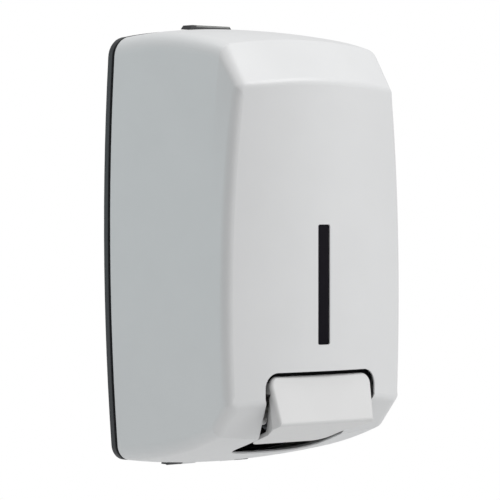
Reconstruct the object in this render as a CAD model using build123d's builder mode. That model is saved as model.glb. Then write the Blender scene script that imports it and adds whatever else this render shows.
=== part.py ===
"""Wall mounted soap dispenser with a push lever, a hinged cover and a refillable tank.

Frame: the origin is the centre of the wall face, X runs to the right as seen from the front,
Y runs into the wall and Z points up. Depths are measured forwards from the wall, so a depth d
lies at Y = -d. Sizes are in millimetres.
"""

import math
import os
from collections import namedtuple

from build123d import *

os.makedirs("parts", exist_ok=True)

# Cover form
cover_width = 150.0
cover_height = 261.2
cover_depth = 110.5
cover_wall = 2.5
front_inset = 5.4
side_top_bow = 4.0
side_bottom_bow = 6.25
front_top_bow = 8.5
front_bottom_bow = 1.0
top_fall = 8.6
top_fall_mid = 1.6
bottom_rise = 18.6
bottom_rise_mid = 5.8
upper_facet = 24.4
lower_facet = 25.8
crease_setback = 20.5
rear_top_bow = 7.9
rear_bottom_bow = 5.25
mid_top_bow = 4.4
mid_bottom_bow = 4.4
crease_top_bow = 5.1
crease_bottom_bow = 4.5
facet_top_bow = 12.6
facet_bottom_bow = 2.5
rear_corner = 13.0
crease_corner = 11.0
front_corner = 9.0
rear_foot_corner = 10.0
crease_foot_corner = 8.0
front_foot_corner = 9.0
front_bulge_radius = 345.0
front_round = 6.5

# Back plate
plate_thickness = 3.6
reveal = 2.2
rim_inset = 1.2
rim_thickness = 2.2
rim_reach = 7.4
rib_height = 2.4
rib_width = 2.0
screw_spacing_x = 90.0
screw_spacing_z = 184.0
screw_hole_radius = 2.6
screw_pad_radius = 7.0
screw_pad_height = 2.0

# Hinge at the foot
hinge_depth = 7.0
hinge_rise = 2.4
hinge_pin_radius = 1.4
knuckle_radius = 2.8
knuckle_width = 10.4
knuckle_gap = 0.5
lug_start = 10.6
lug_width = 10.5
notch_depth = 3.6
foot_clearance = 1.0
pin_overhang = 0.8

# Lever mouth, slit and window
mouth_rise = 59.0
mouth_half_top = 43.6
mouth_half_bottom = 33.0
mouth_straight = 15.0
mouth_taper_height = 24.0
mouth_corner = 9.0
mouth_knee = 8.0
mouth_setback = 52.5
outlet_corner = 14.0
mouth_lip = 1.0
lip_border = 5.0
slit_drop = 116.8
slit_length = 70.0
slit_width = 9.4
slit_round = 1.2
lens_recess = 0.8
lens_gap = 0.2
lens_border = 3.4
lens_tab = 7.0
lens_thickness = 2.0
stake_radius = 1.5

# Push lever and its frame
lever_width = 81.0
lever_lip_width = 75.2
lever_wall = 2.5
lever_top_gap = 2.3
lever_height = 27.9
lever_top_recess = 3.0
lever_lip = 3.5
lever_rear = 18.5
lever_drop = 13.3
lever_top_corner = 6.0
lever_shoulder = 10.0
lever_foot_width = 60.0
lever_waist = 21.0
lever_corner = 9.0
lever_round = 2.0
pivot_recess = 14.0
pivot_lift = 4.6
pivot_pin_radius = 2.0
ear_radius = 5.0
ear_width = 3.0
ear_inset = 1.6
prong_gap = 14.0
prong_width = 4.0
nose_radius = 4.0
contact_gap = 0.1
frame_gap = 1.3
frame_wall = 2.5
frame_clearance = 1.4
frame_tab = 15.0
frame_tab_height = 10.0
frame_reach = 16.0
frame_screw_inset = 8.0
apron_thickness = 1.5
apron_setback = 0.4
apron_overlap = 2.5
apron_gap = 0.8
boss_radius = 4.0
clip_thickness = 0.8
clip_radius = 4.0

# Lock at the top
lock_half_width = 17.0
lock_head_back = 2.3
lock_head_height = 2.4
lock_head_lift = 0.4
lock_bevel = 2.0
lock_plate_thickness = 1.1
lock_plate_start = 11.6
lock_block_half = 9.0
lock_block_drop = 19.0
lock_block_wall = 0.6
lock_axis_depth = 6.8
lock_ear_height = 8.0
lock_ear_lift = 2.0
lock_ear_thickness = 3.0
lock_notch_gap = 0.6
barrel_radius = 2.6
barrel_head_radius = 3.2
barrel_head_height = 2.0
barrel_foot = 2.5
cam_thickness = 3.0
cam_reach = 17.5
cam_hook_width = 3.0
cam_hook_height = 3.0
cam_half_width = 3.2
catch_half_width = 5.0
catch_thickness = 2.5
catch_gap = 0.9
catch_lift = 0.5
key_slot_length = 5.0
key_slot_width = 1.4
key_slot_depth = 1.5

# Tank
tank_width = 116.0
tank_stand_off = 15.0
tank_front_gap = 13.5
tank_rise = 78.6
tank_height = 118.0
tank_wall = 2.0
tank_corner = 5.0
tank_edge = 4.0
filler_radius = 23.0
filler_lip = 6.0
hook_spacing = 70.0
hook_width = 12.0
hook_height = 11.0
hook_thickness = 4.0
hook_base = 20.0
hook_arm = 5.0
hook_play = 0.3
lug_height = 12.0
lug_wall = 2.5
tank_pad_height = 12.0

# Pump
neck_radius = 16.0
neck_bore = 12.0
neck_length = 12.0
gasket_thickness = 1.5
pump_flange_radius = 15.5
pump_flange_thickness = 2.5
cylinder_radius = 10.0
cylinder_bore = 8.0
cylinder_height = 28.0
cage_height = 7.0
cage_floor = 1.5
cage_radius = 3.5
ball_radius = 3.0
port_radius = 2.4
port_slot = 1.2
guide_height = 4.5
stem_radius = 4.5
stem_bore = 2.5
piston_radius = 7.6
piston_height = 4.5
piston_rise = 3.5
seal_height = 2.4
seal_depth = 1.8
spring_length = 26.0
spring_radius = 7.2
spring_wire = 0.65
spring_turns = 6
collar_radius = 13.0
collar_thickness = 3.0
nozzle_reach = 7.0
nozzle_offset = 7.0
nozzle_radius = 6.0
nozzle_sleeve = 5.0
nozzle_floor = 1.8
nozzle_bore = 2.0
valve_thickness = 2.2
nut_radius = 20.0
nut_lip = 4.0
nut_ribs = 20
nut_rib_radius = 0.8
nut_hole = 11.5

# Filler cap
cap_overhang = 4.0
cap_thickness = 3.0
cap_plug_wall = 2.4
cap_seal_thickness = 1.5
grip_length = 32.0
grip_width = 5.0
grip_height = 6.0

# Fasteners and fits
small_screw_radius = 1.45
small_head_radius = 2.8
small_head_height = 2.2
lock_screw_length = 5.4
frame_screw_length = 6.6
cam_screw_length = 6.0
press_gap = 0.02
run_gap = 0.06
slide_gap = 0.1
loose_gap = 0.3

# Places that follow from the sizes above
half_height = cover_height / 2
rear_depth = plate_thickness + reveal
crease_depth = cover_depth - crease_setback
bow_depth = (rear_depth + crease_depth) / 2
hinge_z = -half_height + hinge_rise
mouth_top = -half_height + mouth_rise
mouth_rear = cover_depth - mouth_setback
pump_depth = mouth_rear + nozzle_offset
tank_depth = cover_depth - tank_front_gap - tank_stand_off
tank_centre = tank_stand_off + tank_depth / 2
tank_bottom = -half_height + tank_rise
tank_top = tank_bottom + tank_height
slit_top = half_height - slit_drop
slit_bottom = slit_top - slit_length
pivot_depth = cover_depth - pivot_recess
pivot_z = mouth_top + pivot_lift
frame_inner = lever_width / 2 + frame_gap
frame_outer = frame_inner + frame_wall
neck_end = tank_bottom - neck_length
gasket_end = neck_end - gasket_thickness
flange_end = gasket_end - pump_flange_thickness
cylinder_top = flange_end + cylinder_height
chamber_top = cylinder_top - cage_height - cage_floor
collar_top = flange_end - spring_length
collar_end = collar_top - collar_thickness
stem_end = collar_end - nozzle_reach
nose_z = collar_end - contact_gap - nose_radius
lock_top = half_height + lock_head_lift + lock_head_height
lock_z_bottom = half_height + lock_head_lift - lock_block_drop
lock_front = lock_axis_depth + barrel_head_radius + lock_block_wall
lock_ear_z = lock_z_bottom + lock_ear_lift + lock_ear_height / 2
lock_ear_x = (lock_block_half + lock_half_width) / 2
lock_screw_end = plate_thickness + lock_ear_thickness - lock_screw_length
cam_top = lock_z_bottom - barrel_foot
hook_radius = cam_reach - cam_hook_width
lug_end = lug_start + lug_width
knuckle_start = lug_end + knuckle_gap
knuckle_end = knuckle_start + knuckle_width
foot_half = knuckle_end + knuckle_gap
hook_front = tank_stand_off - lug_wall - hook_play
hook_back = hook_front - hook_thickness

Section = namedtuple("Section", "depth z_top z_bottom bow_top bow_bottom corner foot_corner")
pump_plane = Plane.XZ.offset(pump_depth)
pump_axis = Axis((0, -pump_depth, 0), (0, 0, 1))
lock_plane = Plane.XZ.offset(lock_axis_depth)
lock_axis = Axis((0, -lock_axis_depth, 0), (0, 0, 1))


def side_plane(x):
    """Plane square to X: its first axis is depth, its second Z, and it faces -X."""
    return Plane((x, 0, 0), x_dir=(0, -1, 0), z_dir=(-1, 0, 0))


def profile(plane, *points):
    """Flat face with straight edges through the points, on a plane."""
    with BuildSketch(plane) as shape:
        with BuildLine():
            Polyline(*points, close=True)
        make_face()
    return shape.sketch.faces()[0]


def save(solid, name):
    """Label a finished sub-part and write its STEP file."""
    solid.label = name
    export_step(solid, f"parts/{name}.step")


def cover_section(section, inset):
    """Bowed outline of the cover at one depth, drawn in by the inset."""
    along = (section.depth - rear_depth) / (cover_depth - rear_depth)
    half_mid = cover_width / 2 - front_inset * along - inset
    half_top = half_mid - side_top_bow - (front_top_bow - side_top_bow) * along
    half_bottom = half_mid - side_bottom_bow - (front_bottom_bow - side_bottom_bow) * along
    z_top = section.z_top - inset
    z_bottom = section.z_bottom + inset
    z_mid = (z_top + z_bottom) / 2
    top_end = z_top - section.bow_top
    bottom_end = z_bottom + section.bow_bottom
    with BuildSketch(Plane.XZ.offset(section.depth)) as outline:
        with BuildLine():
            ThreePointArc((-half_top, top_end), (0, z_top), (half_top, top_end))
            ThreePointArc((half_top, top_end), (half_mid, z_mid), (half_bottom, bottom_end))
            ThreePointArc((half_bottom, bottom_end), (0, z_bottom), (-half_bottom, bottom_end))
            ThreePointArc((-half_bottom, bottom_end), (-half_mid, z_mid), (-half_top, top_end))
        make_face()
        fillet(outline.vertices().sort_by(Axis.Y)[-2:], section.corner - inset)
        fillet(outline.vertices().sort_by(Axis.Y)[:2], section.foot_corner - inset)
    return outline.sketch.faces()[0]


rear_section = Section(
    rear_depth,
    half_height,
    -half_height,
    rear_top_bow,
    rear_bottom_bow,
    rear_corner,
    rear_foot_corner)
bow_section = Section(
    bow_depth,
    half_height - top_fall_mid,
    -half_height + bottom_rise_mid,
    mid_top_bow,
    mid_bottom_bow,
    (rear_corner + crease_corner) / 2,
    (rear_foot_corner + crease_foot_corner) / 2)
crease_section = Section(
    crease_depth,
    half_height - top_fall,
    -half_height + bottom_rise,
    crease_top_bow,
    crease_bottom_bow,
    crease_corner,
    crease_foot_corner)
front_section = Section(
    cover_depth,
    crease_section.z_top - upper_facet,
    crease_section.z_bottom + lower_facet,
    facet_top_bow,
    facet_bottom_bow,
    front_corner,
    front_foot_corner)


def cover_body(inset, rear):
    """Sharp-edged body of the cover drawn in by the inset, open-ended at the given rear depth."""
    back = cover_section(rear_section._replace(depth=rear), inset)
    middle = cover_section(bow_section, inset)
    crease = cover_section(crease_section, inset)
    front = cover_section(front_section, inset)
    with BuildPart() as form:
        loft([back, middle, crease])
        loft([crease, front], ruled=True)
        with Locations((0, front_bulge_radius - cover_depth, 0)):
            Cylinder(front_bulge_radius - inset, 2 * cover_height, mode=Mode.INTERSECT)
    return form.part


def cover_form(inset, rear, edge):
    """Body of the cover drawn in by the inset, with the edges of its front face rounded."""
    with BuildPart() as form:
        add(cover_body(inset, rear))
        bulge = form.faces().filter_by(GeomType.CYLINDER)
        fillet(bulge.edges(), edge)
    return form.part


def front_depth(x):
    """Depth of the cover's front face at a given X."""
    return cover_depth - front_bulge_radius + math.sqrt(front_bulge_radius**2 - x**2)


def lower_facet_depth(x, z):
    """Depth of the cover's lower facet at a given X and Z."""
    spread = (x / (cover_width / 2 - front_inset)) ** 2
    z_crease = crease_section.z_bottom + crease_bottom_bow * spread
    z_front = front_section.z_bottom + facet_bottom_bow * spread
    along = (z - z_crease) / (z_front - z_crease)
    return crease_depth + (cover_depth - crease_depth) * along


# Back plate with rim, wall screw pads, ribs, hinge knuckles, tank hooks and pads
plate_outline = cover_section(rear_section, 0)
rim_outline = cover_section(rear_section, cover_wall + rim_inset)
rim_hollow = cover_section(rear_section, cover_wall + rim_inset + rim_thickness)
rear_to_wall = Location((0, rear_depth, 0))
rear_to_face = Location((0, reveal, 0))

with BuildPart() as back_plate:
    extrude(plate_outline.moved(rear_to_wall), plate_thickness)
    extrude(rim_outline.moved(rear_to_face), rim_reach)
    extrude(rim_hollow.moved(rear_to_face), rim_reach, mode=Mode.SUBTRACT)
    with BuildSketch(Plane.XZ.offset(plate_thickness)):
        with Locations((0, -half_height)):
            Rectangle(2 * foot_half, 2 * (hinge_rise + knuckle_radius + foot_clearance))
        with Locations((0, half_height)):
            Rectangle(2 * (lock_block_half + loose_gap), lock_block_drop)
    extrude(amount=2 * rim_reach, mode=Mode.SUBTRACT)
    with BuildSketch(Plane.XZ.offset(plate_thickness)):
        with GridLocations(screw_spacing_x, screw_spacing_z, 2, 2):
            Circle(screw_pad_radius)
    extrude(amount=screw_pad_height)
    with BuildSketch(Plane.XZ.offset(plate_thickness)):
        with GridLocations(0, screw_spacing_z / 2, 1, 2):
            Rectangle(screw_spacing_x, rib_width)
        with GridLocations(screw_spacing_x, 0, 2, 1):
            Rectangle(rib_width, screw_spacing_z)
    extrude(amount=rib_height)
    for right_end in (knuckle_end, -knuckle_start):
        with BuildSketch(side_plane(right_end)):
            with Locations((hinge_depth, hinge_z)):
                Circle(knuckle_radius)
            with Locations((hinge_depth, -half_height)):
                Rectangle(
                    hinge_depth - plate_thickness / 2,
                    hinge_rise + knuckle_radius,
                    align=(Align.MAX, Align.MIN))
        extrude(amount=knuckle_width)
    with BuildSketch(side_plane(0)):
        with Locations((hinge_depth, hinge_z)):
            Circle(hinge_pin_radius + press_gap)
    extrude(amount=foot_half, both=True, mode=Mode.SUBTRACT)
    hook_profile = profile(
        side_plane(0),
        (plate_thickness, hook_base - hook_arm),
        (hook_front, hook_base - hook_arm),
        (hook_front, hook_base + hook_height),
        (hook_back, hook_base + hook_height),
        (hook_back, hook_base),
        (plate_thickness, hook_base))
    for side in (-1, 1):
        extrude(hook_profile.moved(Location((side * hook_spacing / 2, 0, 0))), hook_width / 2, both=True)
    with BuildSketch(Plane.XZ.offset(plate_thickness)):
        with Locations((0, tank_bottom + tank_pad_height)):
            with GridLocations(hook_spacing, 0, 2, 1):
                Rectangle(hook_width, tank_pad_height)
    extrude(amount=tank_stand_off - slide_gap - plate_thickness)
    with BuildSketch(Plane.XZ):
        with GridLocations(screw_spacing_x, screw_spacing_z, 2, 2):
            Circle(screw_hole_radius)
    extrude(amount=tank_stand_off, mode=Mode.SUBTRACT)
    with BuildSketch(Plane.XZ.offset(lock_screw_end)):
        with Locations((0, lock_ear_z)):
            with GridLocations(2 * lock_ear_x, 0, 2, 1):
                Circle(small_screw_radius + press_gap)
    extrude(amount=lock_screw_length, mode=Mode.SUBTRACT)
save(back_plate.part, "back_plate")

# Hinge pins at the foot
with BuildPart() as hinge_pins:
    for right_end in (knuckle_end + pin_overhang / 2, pin_overhang - lug_start):
        with BuildSketch(side_plane(right_end)):
            with Locations((hinge_depth, hinge_z)):
                Circle(hinge_pin_radius)
        extrude(amount=knuckle_end - lug_start + 1.5 * pin_overhang)
save(hinge_pins.part, "hinge_pins")

# Front cover with mouth, slit, hinge lugs, lock catch, lens stakes and frame bosses
lens_back = cover_depth - cover_wall - lens_gap - lens_thickness
frame_top = pivot_z + ear_radius + frame_clearance + frame_wall
tab_front = front_depth(frame_outer + frame_tab) - cover_wall - 2 * frame_clearance
boss_x = frame_outer + frame_screw_inset
boss_z = pivot_z + clip_radius + loose_gap + frame_tab_height / 2
catch_front = lock_axis_depth + math.sqrt(hook_radius**2 - catch_half_width**2) - catch_gap
lug_web = notch_depth + 2 * cover_wall
mouth_foot = mouth_top - mouth_straight - mouth_taper_height


def mouth_outline(border):
    """Outline of the lever mouth seen from the front, grown by the border."""
    half_top = mouth_half_top + border
    half_bottom = mouth_half_bottom + border
    with BuildSketch(Plane.XZ.offset(mouth_rear + outlet_corner)) as outline:
        with BuildLine():
            Polyline(
                (-half_bottom, -cover_height),
                (-half_bottom, mouth_foot),
                (-half_top, mouth_top - mouth_straight),
                (-half_top, mouth_top + border),
                (half_top, mouth_top + border),
                (half_top, mouth_top - mouth_straight),
                (half_bottom, mouth_foot),
                (half_bottom, -cover_height),
                close=True)
        make_face()
        fillet(outline.vertices().group_by(Axis.Y)[-1], mouth_corner + border)
        fillet(outline.vertices().group_by(Axis.Y)[1], mouth_knee)
    return outline.sketch.faces()[0]


def outlet_outline(border):
    """Outline of the outlet seen from below, grown by the border."""
    with BuildSketch(Plane.XY.offset(mouth_foot - cover_height)) as outline:
        with Locations((0, border - mouth_rear)):
            RectangleRounded(
                2 * (mouth_half_bottom + border),
                4 * outlet_corner,
                outlet_corner + border,
                align=(Align.CENTER, Align.MAX))
    return outline.sketch.faces()[0]


with BuildPart() as mouth_relief:
    extrude(mouth_outline(lip_border), cover_depth)
    extrude(outlet_outline(lip_border), cover_height)
    add(cover_body(mouth_lip, rear_depth), mode=Mode.INTERSECT)

with BuildPart() as front_cover:
    add(cover_form(0, rear_depth, front_round))
    add(cover_form(cover_wall, rear_depth - reveal, front_round - cover_wall), mode=Mode.SUBTRACT)
    extrude(mouth_outline(0), cover_depth, mode=Mode.SUBTRACT)
    extrude(outlet_outline(0), cover_height, mode=Mode.SUBTRACT)
    add(mouth_relief.part, mode=Mode.SUBTRACT)
    with BuildSketch(Plane.XZ.offset(crease_depth)):
        with Locations((0, slit_top - slit_length / 2)):
            RectangleRounded(slit_width, slit_length, slit_round)
    extrude(amount=cover_depth, mode=Mode.SUBTRACT)
    with BuildSketch(Plane.XY.offset(cam_top)):
        Rectangle(2 * (lock_block_half + lock_notch_gap), 2 * (lock_front + lock_notch_gap))
    extrude(amount=cover_height, mode=Mode.SUBTRACT)
    with BuildSketch(Plane.XY.offset(hinge_z + knuckle_radius + foot_clearance)):
        Rectangle(2 * foot_half, 2 * (hinge_depth + notch_depth))
    extrude(amount=-cover_height, mode=Mode.SUBTRACT)
    for right_end in (lug_end, -lug_start):
        with BuildSketch(side_plane(right_end)):
            with Locations((hinge_depth, hinge_z)):
                Circle(knuckle_radius)
                Rectangle(lug_web, knuckle_radius, align=(Align.MIN, Align.MIN))
        extrude(amount=lug_width)
    with BuildSketch(side_plane(0)):
        with Locations((hinge_depth, hinge_z)):
            Circle(hinge_pin_radius + run_gap)
    extrude(amount=foot_half, both=True, mode=Mode.SUBTRACT)
    with BuildSketch(Plane.XY.offset(cam_top + catch_lift)):
        with Locations((0, catch_thickness / 2 - catch_front)):
            Rectangle(2 * catch_half_width, catch_thickness)
    extrude(amount=half_height - cover_wall / 2 - cam_top - catch_lift)
    with BuildSketch(Plane.XZ.offset(lens_back - slide_gap)):
        with Locations((0, slit_top + lens_tab / 2), (0, slit_bottom - lens_tab / 2)):
            Circle(stake_radius)
    extrude(amount=lens_thickness + cover_wall)
    with BuildSketch(Plane.XZ.offset(tab_front)):
        with Locations((-boss_x, boss_z), (boss_x, boss_z)):
            Circle(boss_radius)
    extrude(amount=front_depth(boss_x) - cover_wall / 2 - tab_front)
    with BuildSketch(Plane.XZ.offset(tab_front - frame_wall)):
        with Locations((-boss_x, boss_z), (boss_x, boss_z)):
            Circle(small_screw_radius + press_gap)
    extrude(amount=frame_screw_length + loose_gap, mode=Mode.SUBTRACT)
save(front_cover.part, "front_cover")

# Smoked window lens behind the slit
with BuildPart() as window_lens:
    with BuildSketch(Plane.XZ.offset(lens_back)):
        with Locations((0, slit_top - slit_length / 2)):
            RectangleRounded(slit_width + 2 * lens_border, slit_length + 2 * lens_tab, lens_border)
        with Locations((0, slit_top + lens_tab / 2), (0, slit_bottom - lens_tab / 2)):
            Circle(stake_radius + slide_gap, mode=Mode.SUBTRACT)
    extrude(amount=lens_thickness)
    with BuildSketch(Plane.XZ.offset(lens_back)):
        with Locations((0, slit_top - slit_length / 2)):
            RectangleRounded(slit_width - 2 * slide_gap, slit_length - 2 * slide_gap, slit_round)
    extrude(amount=cover_depth - lens_recess - lens_back)
save(window_lens.part, "window_lens")

# Push lever: leaning plate, sole and waisted cheeks, with pivot ears and two lifting prongs
lever_half = lever_width / 2
lever_top_point = (cover_depth - lever_top_recess, mouth_top - lever_top_gap)
lever_lip_point = (cover_depth + lever_lip, lever_top_point[1] - lever_height)
lever_rear_point = (mouth_rear + lever_rear, lever_lip_point[1] - lever_drop)
shoulder_z = lever_top_point[1] - lever_shoulder
face_slope = (lever_lip_point[0] - lever_top_point[0]) / lever_height
face_lean = math.atan(face_slope)
sole_slope = lever_drop / (lever_lip_point[0] - lever_rear_point[0])


def face_depth(z):
    """Depth of the lever's front face at a given Z."""
    return lever_lip_point[0] + (lever_lip_point[1] - z) * face_slope


def inner_face_depth(z):
    """Depth of the lever's inner front face at a given Z."""
    return face_depth(z) - lever_wall / math.cos(face_lean)


def inner_sole_z(depth):
    """Height of the lever's inner sole at a given depth."""
    drop = (lever_lip_point[0] - depth) * sole_slope
    return lever_lip_point[1] - drop + lever_wall * math.hypot(1, sole_slope)


cut_z = lever_rear_point[1] - lever_wall
side_taper = (lever_half - lever_lip_width / 2) / lever_height
lever_low_half = lever_half - (lever_top_point[1] - cut_z) * side_taper
cut_rear = lever_rear_point[0] + lever_wall * face_slope
flank_depth = face_depth(cut_z) - lever_round
waist_depth = face_depth(cut_z) - lever_waist
cheek_depth = lever_lip_point[0] - lever_waist
sole_end = lever_rear_point[0] - lever_wall
inner_lip_z = inner_sole_z(inner_face_depth(lever_lip_point[1]))
inner_lip_depth = inner_face_depth(inner_lip_z)
ear_half = ear_radius - run_gap
ear_end = lever_half - ear_inset
apron_bottom = lever_top_point[1] - apron_overlap
arm_z = apron_bottom - apron_gap

with BuildPart() as push_lever:
    wedge = profile(
        side_plane(0),
        lever_top_point,
        lever_lip_point,
        (sole_end, lever_rear_point[1] - lever_wall * sole_slope),
        (sole_end, inner_sole_z(sole_end)),
        (cheek_depth, inner_sole_z(cheek_depth)),
        (inner_face_depth(shoulder_z), shoulder_z),
        (inner_face_depth(lever_top_point[1]), lever_top_point[1]))
    extrude(wedge, lever_half, both=True)
    with BuildSketch(Plane.XZ) as front_view:
        with BuildLine():
            Polyline(
                (-lever_half, lever_top_point[1]),
                (lever_half, lever_top_point[1]),
                (lever_low_half, cut_z),
                (-lever_low_half, cut_z),
                close=True)
        make_face()
        fillet(front_view.vertices().group_by(Axis.Y)[-1], lever_top_corner)
    extrude(amount=2 * cover_depth, mode=Mode.INTERSECT)
    front_face = push_lever.faces().sort_by(Axis.Y)[0]
    fillet(front_face.edges(), lever_round)
    with BuildSketch(Plane.XY.offset(cut_z)):
        Rectangle(2 * cover_width, 6 * cover_depth)
        with BuildLine():
            FilletPolyline(
                (-lever_half, -2 * cover_depth),
                (-lever_half, -flank_depth),
                (-lever_foot_width / 2, -waist_depth),
                (-lever_foot_width / 2, -cut_rear),
                (lever_foot_width / 2, -cut_rear),
                (lever_foot_width / 2, -waist_depth),
                (lever_half, -flank_depth),
                (lever_half, -2 * cover_depth),
                radius=lever_corner,
                close=True)
        make_face(mode=Mode.SUBTRACT)
    extrude(
        amount=(shoulder_z - cut_z) / math.cos(face_lean),
        dir=(0, math.sin(face_lean), math.cos(face_lean)),
        mode=Mode.SUBTRACT)
    hollow = profile(
        side_plane(0),
        (inner_face_depth(shoulder_z), shoulder_z),
        (inner_lip_depth, inner_lip_z),
        (sole_end, inner_sole_z(sole_end)),
        (sole_end, shoulder_z))
    extrude(hollow, lever_foot_width / 2 - lever_wall, both=True, mode=Mode.SUBTRACT)
    arm = profile(
        side_plane(0),
        (pivot_depth - ear_half, pivot_z),
        (pivot_depth + ear_half, pivot_z),
        (pivot_depth + ear_half, arm_z),
        (face_depth(arm_z) - lever_wall / 2, arm_z),
        (face_depth(shoulder_z) - lever_wall / 2, shoulder_z),
        (pivot_depth - ear_half, shoulder_z))
    for right_end in (ear_end, ear_width - ear_end):
        extrude(arm.moved(Location((right_end, 0, 0))), ear_width)
        with BuildSketch(side_plane(right_end)):
            with Locations((pivot_depth, pivot_z)):
                Circle(ear_radius)
        extrude(amount=ear_width)
    for right_end in (prong_gap / 2 + prong_width, -prong_gap / 2):
        with BuildSketch(side_plane(right_end)):
            with Locations((pump_depth, nose_z)):
                Circle(nose_radius)
                Rectangle(
                    inner_face_depth(nose_z) - pump_depth + lever_wall / 2,
                    nose_radius,
                    align=(Align.MIN, Align.MIN))
        extrude(amount=prong_width)
    with BuildSketch(side_plane(0)):
        with Locations((pivot_depth, pivot_z)):
            Circle(pivot_pin_radius + run_gap)
    extrude(amount=lever_width, both=True, mode=Mode.SUBTRACT)
save(push_lever.part, "push_lever")

# Dark frame that carries the lever inside the cover
frame_front = front_depth(frame_outer) - cover_wall - frame_clearance
frame_bottom = lever_lip_point[1] - frame_clearance
facet_lean = (cover_depth - crease_depth) / lower_facet
facet_setback = (cover_wall + frame_clearance) * math.hypot(1, facet_lean)
low_front = lower_facet_depth(frame_outer, frame_bottom) - facet_setback
high_front_z = frame_bottom + (frame_front - low_front) / facet_lean
frame_back = pivot_depth - ear_radius

with BuildPart() as lever_bracket:
    cheek = profile(
        side_plane(0),
        (frame_back, frame_top),
        (frame_front, frame_top),
        (frame_front, high_front_z),
        (low_front, frame_bottom),
        (pivot_depth - frame_reach, frame_bottom),
        (pivot_depth - frame_reach, mouth_top))
    for right_end in (frame_outer, -frame_inner):
        extrude(cheek.moved(Location((right_end, 0, 0))), frame_wall)
    with BuildSketch(Plane.XY.offset(frame_top - frame_wall)):
        with Locations((0, -frame_back)):
            Rectangle(2 * frame_outer, frame_front - frame_back, align=(Align.CENTER, Align.MAX))
    extrude(amount=frame_wall)
    with BuildSketch(Plane.XZ.offset(frame_front - apron_setback - apron_thickness)):
        with Locations((0, frame_top)):
            Rectangle(
                2 * frame_outer,
                frame_top - apron_bottom,
                align=(Align.CENTER, Align.MAX))
    extrude(amount=apron_thickness)
    with BuildSketch(Plane.XZ.offset(tab_front - frame_wall)):
        for side in (-1, 1):
            with Locations((side * (frame_outer + frame_tab / 2), boss_z)):
                Rectangle(frame_tab, frame_tab_height)
        with Locations((-boss_x, boss_z), (boss_x, boss_z)):
            Circle(small_screw_radius + slide_gap, mode=Mode.SUBTRACT)
    extrude(amount=frame_wall)
    with BuildSketch(side_plane(0)):
        with Locations((pivot_depth, pivot_z)):
            Circle(pivot_pin_radius + press_gap)
    extrude(amount=cover_width, both=True, mode=Mode.SUBTRACT)
save(lever_bracket.part, "lever_bracket")

with BuildPart() as bracket_screws:
    with BuildSketch(Plane.XZ.offset(tab_front - frame_wall)):
        with Locations((-boss_x, boss_z), (boss_x, boss_z)):
            Circle(small_screw_radius)
    extrude(amount=frame_screw_length)
    with BuildSketch(Plane.XZ.offset(tab_front - frame_wall)):
        with Locations((-boss_x, boss_z), (boss_x, boss_z)):
            Circle(small_head_radius)
    extrude(amount=-small_head_height)
save(bracket_screws.part, "bracket_screws")

# Lever pivot pin and its clips
pin_half = frame_outer + 2 * clip_thickness + slide_gap
with BuildPart() as lever_pin:
    with BuildSketch(side_plane(0)):
        with Locations((pivot_depth, pivot_z)):
            Circle(pivot_pin_radius)
    extrude(amount=pin_half, both=True)
    chamfer(lever_pin.edges(), clip_thickness / 2)
save(lever_pin.part, "lever_pin")

with BuildPart() as pin_clips:
    for right_end in (frame_outer + slide_gap + clip_thickness, -frame_outer - slide_gap):
        with BuildSketch(side_plane(right_end)):
            with Locations((pivot_depth, pivot_z)):
                Circle(clip_radius)
                Circle(pivot_pin_radius + press_gap, mode=Mode.SUBTRACT)
                Rectangle(
                    pivot_pin_radius,
                    2 * clip_radius,
                    align=(Align.CENTER, Align.MAX),
                    mode=Mode.SUBTRACT)
        extrude(amount=clip_thickness)
save(pin_clips.part, "pin_clips")

# Lock housing with a bevelled head on the top edge
plate_seat = lock_top - lock_plate_thickness
barrel_seat = plate_seat - barrel_head_height - slide_gap
lock_plate_end = lock_half_width - lock_bevel

with BuildPart() as lock_body:
    head_face = profile(
        Plane.XZ.offset(lock_head_back),
        (-lock_half_width, half_height + lock_head_lift),
        (lock_half_width, half_height + lock_head_lift),
        (lock_half_width - lock_bevel, lock_top),
        (lock_bevel - lock_half_width, lock_top))
    extrude(head_face, lock_front - lock_head_back)
    with BuildSketch(Plane.XY.offset(lock_z_bottom)):
        with Locations((0, -plate_thickness)):
            Rectangle(
                2 * lock_block_half,
                lock_front - plate_thickness,
                align=(Align.CENTER, Align.MAX))
    extrude(amount=lock_block_drop + lock_bevel / 2)
    with BuildSketch(Plane.XZ.offset(plate_thickness)):
        with Locations((0, lock_ear_z)):
            Rectangle(2 * lock_half_width, lock_ear_height)
    extrude(amount=lock_ear_thickness)
    with BuildSketch(Plane.XZ.offset(plate_thickness)):
        with Locations((0, lock_ear_z)):
            with GridLocations(2 * lock_ear_x, 0, 2, 1):
                Circle(small_screw_radius + slide_gap)
    extrude(amount=lock_ear_thickness, mode=Mode.SUBTRACT)
    with BuildSketch(Plane.XY.offset(plate_seat)):
        with Locations((-lock_plate_start, -plate_thickness)):
            Rectangle(
                lock_plate_start + lock_plate_end,
                lock_front,
                align=(Align.MIN, Align.MAX))
    extrude(amount=lock_plate_thickness, mode=Mode.SUBTRACT)
    bore = profile(
        lock_plane,
        (0, lock_z_bottom),
        (barrel_radius + run_gap, lock_z_bottom),
        (barrel_radius + run_gap, barrel_seat),
        (barrel_head_radius + run_gap, barrel_seat),
        (barrel_head_radius + run_gap, plate_seat),
        (0, plate_seat))
    revolve(bore, axis=lock_axis, mode=Mode.SUBTRACT)
save(lock_body.part, "lock_body")

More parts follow.
